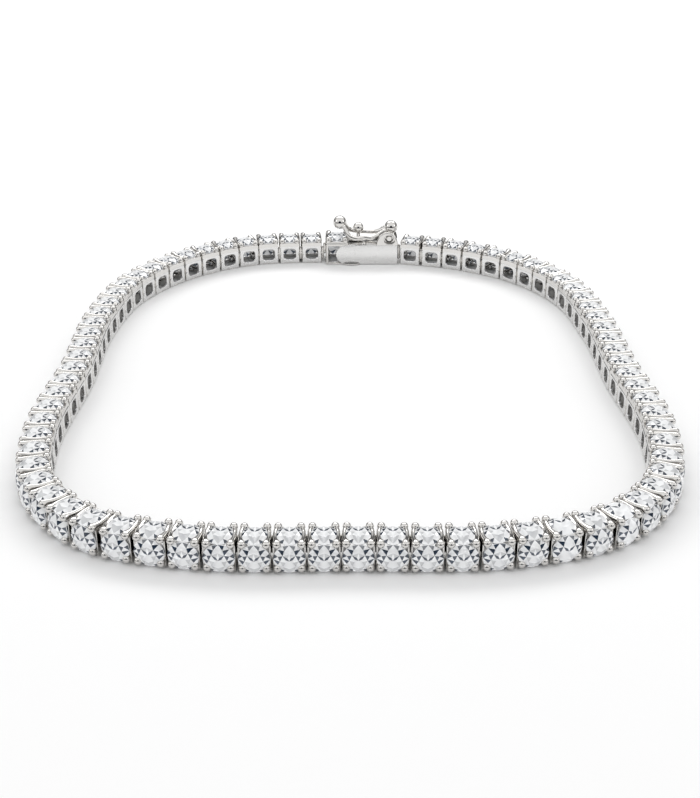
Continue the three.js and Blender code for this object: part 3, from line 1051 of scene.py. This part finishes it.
# Clasp
def clasp_box_body():
    """The box, hollow for the tongue and slotted for the stud's stem."""
    half_depth = BOX_DEPTH / 2
    body = block_object(
        "box", (BOX_LEFT_END, -half_depth + BOX_PLATE_THICKNESS / 2, BOX_LIFT),
        (CLASP_RIGHT_END, half_depth, BOX_TOP))
    inside = half_depth - CAVITY_WALL
    cavity = block_object(
        "cavity", (BOX_LEFT_END - SETTING_CLEARANCE, -inside, BOX_LIFT + CAVITY_WALL),
        (BOX_LEFT_END + CAVITY_DEPTH, inside, BOX_TOP - CAVITY_WALL))
    half_slot = STUD_STEM_DIAMETER / 2 + TONGUE_CLEARANCE
    slot = block_object(
        "slot", (BOX_LEFT_END - SETTING_CLEARANCE, -half_slot, BOX_MIDDLE_Z),
        (STUD_X + half_slot, half_slot, BOX_TOP + SETTING_CLEARANCE))
    for tool in (cavity, slot):
        cut = body.modifiers.new("cut", "BOOLEAN")
        cut.operation = "DIFFERENCE"
        cut.object = tool
    rounding = body.modifiers.new("rounding", "BEVEL")
    rounding.width = BOX_ROUNDING
    rounding.segments = 3
    rounding.limit_method = "ANGLE"
    ready = body.evaluated_get(bpy.context.evaluated_depsgraph_get())
    mesh = bpy.data.meshes.new_from_object(ready)
    bm = bmesh.new()
    bm.from_mesh(mesh)
    for holder in (body, cavity, slot):
        bpy.data.meshes.remove(holder.data)
    add_box_fittings(bm)
    bm.transform(Matrix.Translation(CLASP_PLACE))
    return finish_mesh(bm, "clasp box")


def block_object(name, low, high):
    """A sharp-edged block as an object, for cutting."""
    bm = bmesh.new()
    add_sharp_block(bm, low, high)
    return new_object(name, mesh_from(bm, name))


def add_box_fittings(bm):
    """The ears, the snap bump, the fingernail lip and the hinge bar."""
    middle = CLASP_RIGHT_END - EAR_WIDTH / 2
    foot = BOX_TOP - EAR_FOOT
    arch = [(middle - EAR_WIDTH / 2, foot), (middle + EAR_WIDTH / 2, foot)]
    arch += arc(middle, BOX_TOP, EAR_WIDTH / 2, EAR_HEIGHT, 0, 180, EAR_STEPS)
    last_corner = 360 - 360 / BORE_SIDES
    hole = arc(HINGE.x, HINGE.z, BORE_RADIUS, BORE_RADIUS, 0, last_corner, BORE_SIDES - 1)
    opening_x = HINGE.x + EAR_OPENING_SHIFT
    opening = rounded_rectangle(
        opening_x - EAR_OPENING_HALF, opening_x + EAR_OPENING_HALF,
        BOX_TOP + EAR_OPENING_BOTTOM, BOX_TOP + EAR_OPENING_TOP, EAR_OPENING_CORNER, 6)
    back_thickness = EAR_THICKNESS - EAR_BAND
    for side in (-1, 1):
        front = -BOX_DEPTH / 2 + EAR_SETBACK if side < 0 else BOX_DEPTH / 2 - EAR_SETBACK - EAR_BAND
        back = front + EAR_BAND if side < 0 else front - back_thickness
        add_sheet(bm, [arch, opening], front, EAR_BAND, EAR_ROUNDING, 3)
        add_sheet(bm, [arch, hole], back, back_thickness, EAR_ROUNDING / 4)
    bump_y = -BOX_DEPTH / 2 + BUMP_DIAMETER / 2
    bump_place = Vector((CLASP_RIGHT_END - BUMP_TO_END, bump_y, BOX_TOP))
    add_ball(bm, bump_place, BUMP_DIAMETER, BUMP_DETAIL)
    lip = arc(0, 0, LIP_LENGTH / 2, LIP_REACH, 180, 360, LIP_STEPS)
    lip_bm = bmesh.new()
    add_sheet(lip_bm, [lip], -LIP_THICKNESS / 2, LIP_THICKNESS, LIP_THICKNESS / 4)
    lie_flat = Matrix.Rotation(-math.pi / 2, 4, "X")
    lip_middle = Vector((CLASP_RIGHT_END - LIP_TO_END, -BOX_DEPTH / 2, BOX_LIFT + LIP_THICKNESS / 2))
    lip_bm.transform(Matrix.Translation(lip_middle) @ lie_flat)
    join_into(bm, lip_bm)
    bar_x = CLASP_RIGHT_END + HINGE_BAR_RADIUS
    add_upright_bar(bm, bar_x, -BOX_DEPTH / 2 + HINGE_BAR_INSET, RIGHT_HINGE_BAR, HINGE_BAR_RADIUS)


def join_into(bm, other):
    mesh = mesh_from(other, "joined")
    bm.from_mesh(mesh)
    bpy.data.meshes.remove(mesh)


def clasp_plate():
    """The flat inner plate of the box, with one end half round."""
    radius = BOX_HEIGHT / 2
    round_x = CLASP_RIGHT_END - BOX_PLATE_LENGTH + radius
    outline = [(CLASP_RIGHT_END, BOX_MIDDLE_Z - radius), (CLASP_RIGHT_END, BOX_MIDDLE_Z + radius)]
    outline += arc(round_x, BOX_MIDDLE_Z, radius, radius, 90, 270, PLATE_END_STEPS)
    bm = bmesh.new()
    add_sheet(bm, [outline], -BOX_DEPTH / 2, BOX_PLATE_THICKNESS, BOX_ROUNDING, 3)
    bm.transform(Matrix.Translation(CLASP_PLACE))
    return finish_mesh(bm, "clasp plate")


def tongue_place():
    """Where the tongue's setting stands along the clasp, and how much larger it is than a link's."""
    return Matrix.Translation((TONGUE_SETTING_X, 0, 0)) @ Matrix.Scale(CLASP_SETTING_SCALE, 4)


def add_open_frame(bm):
    """The post, bars and foot of the tongue's setting, where a link has its inner plate."""
    inner_y = -outer_girdle() + FRAME_WIRE / 2
    outside = SETTING_HALF_WIDTH - FRAME_WIRE / 2
    low_z = FRAME_WIRE / 2
    post_low = Vector((-outside, inner_y, low_z))
    post_high = Vector((-outside, inner_y, FRAME_TOP))
    bars = (
        (post_low, post_high),
        (post_high, Vector((outside, inner_y, FRAME_TOP))),
        (post_low, Vector((outside / 4, inner_y + FRAME_WIRE, low_z))),
    )
    for ends in bars:
        add_tube(bm, ends, [FRAME_WIRE / 2] * 2, WIRE_SIDES, 2)
    foot = Vector((-outside, inner_y + FRAME_WIRE / 2, FOOT_BALL / 2))
    add_ball(bm, foot, FOOT_BALL, FOOT_BALL_DETAIL)


def clasp_tongue():
    """The last setting with its flat tongue and the release stud."""
    bm = setting_mesh()
    add_open_frame(bm)
    bm.transform(tongue_place())
    half_depth = BOX_DEPTH / 2 - CAVITY_WALL - TONGUE_CLEARANCE
    add_upright_bar(
        bm, CLASP_LEFT_END - HINGE_BAR_RADIUS, -BOX_DEPTH / 2 + HINGE_BAR_INSET, LEFT_HINGE_BAR,
        HINGE_BAR_RADIUS)
    low = (TONGUE_SETTING_X + TONGUE_SETTING_HALF / 2, -half_depth, BOX_MIDDLE_Z - TONGUE_THICKNESS / 2)
    high = (BOX_LEFT_END + TONGUE_LENGTH, half_depth, BOX_MIDDLE_Z + TONGUE_THICKNESS / 2)
    add_block(bm, low, high, WALL / 2)
    top = Vector((STUD_X, 0, BOX_TOP + STUD_RISE))
    foot = Vector((STUD_X, 0, BOX_MIDDLE_Z))
    add_tube(bm, [foot, top], [STUD_STEM_DIAMETER / 2] * 2, STEM_SIDES, 0)
    add_ball(bm, top, STUD_BALL_DIAMETER, STUD_BALL_DETAIL)
    bm.transform(Matrix.Translation(CLASP_PLACE))
    return finish_mesh(bm, "clasp tongue")


# Safety catch
def catch_point(along, out, up, side):
    left = CLASP_RIGHT_END - CATCH_LEFT_TO_END
    right = CLASP_RIGHT_END - CATCH_RIGHT_TO_END
    x = left + along * (right - left)
    return Vector((x, side * out * BOX_DEPTH / 2, BOX_TOP + up * CATCH_LEFT_RISE))


def safety_catch():
    bm = bmesh.new()
    for side in (-1, 1):
        points = [catch_point(along, out, up, side) for along, out, up in CATCH_BRANCH]
        path = spline(points, CATCH_STEPS)
        add_tube(bm, path, [CATCH_WIRE / 2] * len(path), CATCH_SIDES, 0)
    left_ball = catch_point(*CATCH_BRANCH[0], 1)
    right_ball = catch_point(*CATCH_BRANCH[-1], 1)
    add_ball(bm, left_ball, CATCH_LEFT_BALL, CATCH_BALL_DETAIL)
    add_ball(bm, right_ball, CATCH_RIGHT_BALL, CATCH_BALL_DETAIL)
    add_barrel(bm)
    toward_ball = (right_ball - HINGE).normalized()
    neck_start = HINGE + toward_ball * (BORE_RADIUS + BARREL_WALL / 2)
    add_tube(bm, [neck_start, right_ball], [CATCH_WIRE / 2] * 2, CATCH_SIDES, 0)
    bm.transform(Matrix.Translation(CLASP_PLACE))
    return finish_mesh(bm, "safety catch")


def add_barrel(bm):
    """The open barrel round the hinge pin."""
    bore = BORE_RADIUS
    outside = bore + BARREL_WALL
    half_length = EAR_INNER_Y - EAR_CLEARANCE
    edge = BARREL_WALL / 4
    profile = [
        (bore, -half_length + edge), (bore + edge, -half_length), (outside - edge, -half_length),
        (outside, -half_length + edge), (outside, half_length - edge), (outside - edge, half_length),
        (bore + edge, half_length), (bore, half_length - edge),
    ]
    across = Vector((1, 0, 0))
    up = Vector((0, 0, 1))
    rings = []
    for radius, y in profile:
        points = ring_of_points(HINGE + Vector((0, y, 0)), across, up, radius, HINGE_SIDES)
        rings.append([bm.verts.new(point) for point in points])
    skin_rings(bm, rings, closed=True)


def catch_pin():
    bm = bmesh.new()
    radius = PIN_DIAMETER / 2
    half_length = BOX_DEPTH / 2 - PIN_CLEARANCE
    edge = radius / 4
    profile = [
        (0, -half_length), (radius - edge, -half_length), (radius, -half_length + edge),
        (radius, half_length - edge), (radius - edge, half_length), (0, half_length),
    ]
    place = Matrix.Translation(CLASP_PLACE + HINGE) @ Matrix.Rotation(math.pi / 2, 4, "X")
    add_turned(bm, profile, place, HINGE_SIDES)
    return finish_mesh(bm, "catch pin")


# Stage
def make_camera():
    sizes = bpy.context.scene.bracelet_stage
    data = bpy.data.cameras.new("camera")
    data.lens = sizes.lens
    data.sensor_width = SENSOR_WIDTH
    data.clip_start = NEAREST_SEEN
    data.clip_end = FARTHEST_SEEN
    camera = new_object("camera", data)
    down = sizes.camera_elevation
    turn = sizes.camera_turn
    level = math.cos(down)
    ahead = Vector((math.sin(turn) * level, math.cos(turn) * level, -math.sin(down)))
    camera.location = sizes.camera_place
    camera.rotation_euler = ahead.to_track_quat("-Z", "Y").to_euler()
    bpy.context.scene.camera = camera


def floor_material():
    colour = bpy.context.scene.bracelet_stage.floor_colour
    material, nodes, shader = new_material("Pale floor")
    set_inputs(shader, {"Roughness": FLOOR_ROUGHNESS, "Specular IOR Level": FLOOR_GLOSS})
    coordinates = nodes.new("ShaderNodeTexCoord")
    grain = noise_node(nodes, FLOOR_GRAIN, 2)
    shade = mix_node(nodes, [c * DARKEST_FLOOR for c in colour], colour)
    connect(material.node_tree, (
        (coordinates, "Object", grain, "Vector"),
        (grain, "Fac", shade, "Factor"),
        (shade, "Result", shader, "Base Color"),
    ))
    return material


def make_floor():
    half = bpy.context.scene.bracelet_stage.floor_width / 2
    corners = [(-half, -half, 0), (half, -half, 0), (half, half, 0), (-half, half, 0)]
    mesh = bpy.data.meshes.new("floor")
    mesh.from_pydata(corners, [], [(0, 1, 2, 3)])
    mesh.materials.append(floor_material())
    floor = new_object("floor", mesh)
    floor.location.z = -FLOOR_DROP


def make_surroundings():
    """A white studio room with a dark back card, a dark skirting and a dark opening in front."""
    world = bpy.data.worlds.new("studio")
    bpy.context.scene.world = world
    world.use_nodes = True
    nodes = world.node_tree.nodes
    coordinates = nodes.new("ShaderNodeTexCoord")
    split = nodes.new("ShaderNodeSeparateXYZ")
    front = level_ramp(nodes, FRONT_WALL_LEVELS)
    back = level_ramp(nodes, BACK_WALL_LEVELS)
    side = range_node(nodes, -WALL_BLEND, WALL_BLEND)
    room = mix_node(nodes)
    toward = nodes.new("ShaderNodeVectorMath")
    toward.operation = "DOT_PRODUCT"
    rise = math.radians(OPENING_ELEVATION)
    toward.inputs[1].default_value = (0, -math.cos(rise), math.sin(rise))
    opening = range_node(
        nodes, math.cos(math.radians(OPENING_RADIUS + OPENING_SOFTNESS)),
        math.cos(math.radians(OPENING_RADIUS)))
    dark = mix_node(nodes, high=OPENING_COLOUR)
    behind = mix_node(nodes, high=BACKDROP_COLOUR)
    path = nodes.new("ShaderNodeLightPath")
    background = nodes["Background"]
    background.inputs["Strength"].default_value = bpy.context.scene.bracelet_stage.sky_strength
    connect(world.node_tree, (
        (coordinates, "Generated", split, "Vector"),
        (coordinates, "Generated", toward, 0),
        (split, "Z", front, "Fac"),
        (split, "Z", back, "Fac"),
        (split, "Y", side, "Value"),
        (side, "Result", room, "Factor"),
        (front, "Color", room, "A"),
        (back, "Color", room, "B"),
        (toward, "Value", opening, "Value"),
        (opening, "Result", dark, "Factor"),
        (room, "Result", dark, "A"),
        (path, "Is Camera Ray", behind, "Factor"),
        (dark, "Result", behind, "A"),
        (behind, "Result", background, "Color"),
    ))


def level_ramp(nodes, levels):
    """A grey ramp of (height, level) stops."""
    ramp = nodes.new("ShaderNodeValToRGB")
    stops = ramp.color_ramp.elements
    while len(stops) < len(levels):
        stops.new(0.5)
    for stop, (height, level) in zip(stops, levels):
        stop.position = height
        stop.color = (level, level, level, 1)
    return ramp


def soft_light(name, place, size, power):
    """A rectangular light that faces the middle of the table."""
    data = bpy.data.lights.new(name, "AREA")
    data.shape = "RECTANGLE"
    data.size, data.size_y = size
    data.energy = power
    light = new_object(name, data)
    light.location = place
    light.rotation_euler = (Vector() - Vector(place)).to_track_quat("-Z", "Y").to_euler()


def make_lights():
    sizes = bpy.context.scene.bracelet_stage
    x, y, z = SIDE_PLACE
    soft_light("key", KEY_PLACE, KEY_SIZE, sizes.key_power)
    soft_light("left", (-x, y, z), SIDE_SIZE, sizes.side_power)
    soft_light("right", SIDE_PLACE, SIDE_SIZE, sizes.side_power)


class BRACELET_OT_camera(Operator):
    """Adds the camera at the view the bracelet is shown from"""

    bl_idname = "bracelet.camera"
    bl_label = "Camera"

    def execute(self, context):
        make_camera()
        return {"FINISHED"}


class BRACELET_OT_stage(Operator):
    """Adds the pale floor, the surroundings and the soft lights"""

    bl_idname = "bracelet.stage"
    bl_label = "Stage"

    def execute(self, context):
        make_floor()
        make_surroundings()
        make_lights()
        context.scene.view_settings.view_transform = "Standard"
        return {"FINISHED"}


class BRACELET_OT_settings(Operator):
    """Lays the links' metal along the route, in two halves"""

    bl_idname = "bracelet.settings"
    bl_label = "Settings"

    def execute(self, context):
        lay_both_halves("settings", link_mesh(), polished_metal())
        return {"FINISHED"}


class BRACELET_OT_plates(Operator):
    """Lays the links' plain inner plates along the route, in two halves"""

    bl_idname = "bracelet.plates"
    bl_label = "Inner plates"

    def execute(self, context):
        lay_both_halves("plates", plate_mesh(), satin_metal())
        return {"FINISHED"}


class BRACELET_OT_stones(Operator):
    """Lays the chain's brilliants along the route, in two halves"""

    bl_idname = "bracelet.stones"
    bl_label = "Stones"

    def execute(self, context):
        pair = stones_mesh("two stones", [facing_up(), facing_out()])
        lay_both_halves("stones", pair, cut_stone())
        return {"FINISHED"}


class BRACELET_OT_clasp_box(Operator):
    """Adds the clasp's box with its ears, bump and lip, and its inner plate"""

    bl_idname = "bracelet.clasp_box"
    bl_label = "Clasp box"

    def execute(self, context):
        new_piece("clasp_body", clasp_box_body(), polished_metal(), replaces=["clasp_box"])
        new_piece("clasp_plate", clasp_plate(), satin_metal(), replaces=["clasp_box"])
        return {"FINISHED"}


class BRACELET_OT_clasp_tongue(Operator):
    """Adds the clasp's tongue with its setting, release stud and two stones"""

    bl_idname = "bracelet.clasp_tongue"
    bl_label = "Clasp tongue"

    def execute(self, context):
        new_piece(
            "clasp_setting", clasp_tongue(), polished_metal(), replaces=["clasp_tongue"])
        shift = Matrix.Translation(CLASP_PLACE) @ tongue_place()
        for name, place in (("top", facing_up()), ("outer", facing_out())):
            mesh = stones_mesh(f"clasp {name} stone", [shift @ place])
            new_piece(
                f"clasp_{name}_brilliant", mesh, cut_stone(),
                replaces=[f"clasp_{name}_stone"])
        return {"FINISHED"}


class BRACELET_OT_safety_catch(Operator):
    """Adds the wire safety catch and its hinge pin"""

    bl_idname = "bracelet.safety_catch"
    bl_label = "Safety catch"

    def execute(self, context):
        new_piece(
            "catch_wire", safety_catch(), polished_metal(), CATCH_BODY, ["safety_catch"])
        new_piece("hinge_pin", catch_pin(), polished_metal(), replaces=["catch_pin"])
        return {"FINISHED"}


OPERATORS = (
    BRACELET_OT_camera,
    BRACELET_OT_stage,
    BRACELET_OT_settings,
    BRACELET_OT_plates,
    BRACELET_OT_stones,
    BRACELET_OT_clasp_box,
    BRACELET_OT_clasp_tongue,
    BRACELET_OT_safety_catch,
)


class BRACELET_PT_panel(Panel):
    """Sizes, finishes and the pieces of the bracelet"""

    bl_idname = "BRACELET_PT_panel"
    bl_label = "Bracelet"
    bl_space_type = "VIEW_3D"
    bl_region_type = "UI"
    bl_category = "Bracelet"

    def draw(self, context):
        scene = context.scene
        for group in (scene.bracelet_stones, scene.bracelet_finishes, scene.bracelet_stage):
            column = self.layout.column(align=True)
            for name in group.__annotations__:
                column.prop(group, name)
        for operator in OPERATORS:
            self.layout.operator(operator.bl_idname)


CLASSES = (StoneSizes, Finishes, StageSizes, *OPERATORS, BRACELET_PT_panel)


def register():
    for cls in CLASSES:
        bpy.utils.register_class(cls)
    bpy.types.Scene.bracelet_stones = PointerProperty(type=StoneSizes)
    bpy.types.Scene.bracelet_finishes = PointerProperty(type=Finishes)
    bpy.types.Scene.bracelet_stage = PointerProperty(type=StageSizes)


def unregister():
    del bpy.types.Scene.bracelet_stage
    del bpy.types.Scene.bracelet_finishes
    del bpy.types.Scene.bracelet_stones
    for cls in reversed(CLASSES):
        bpy.utils.unregister_class(cls)


def write_sizes():
    """Brings the scene's placements up to date."""
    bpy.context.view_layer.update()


def main():
    register()
    bpy.ops.bracelet.camera()
    bpy.ops.bracelet.stage()
    bpy.ops.bracelet.settings()
    bpy.ops.bracelet.plates()
    bpy.ops.bracelet.stones()
    bpy.ops.bracelet.clasp_box()
    bpy.ops.bracelet.clasp_tongue()
    bpy.ops.bracelet.safety_catch()
    write_sizes()


if __name__ == "__main__":
    main()
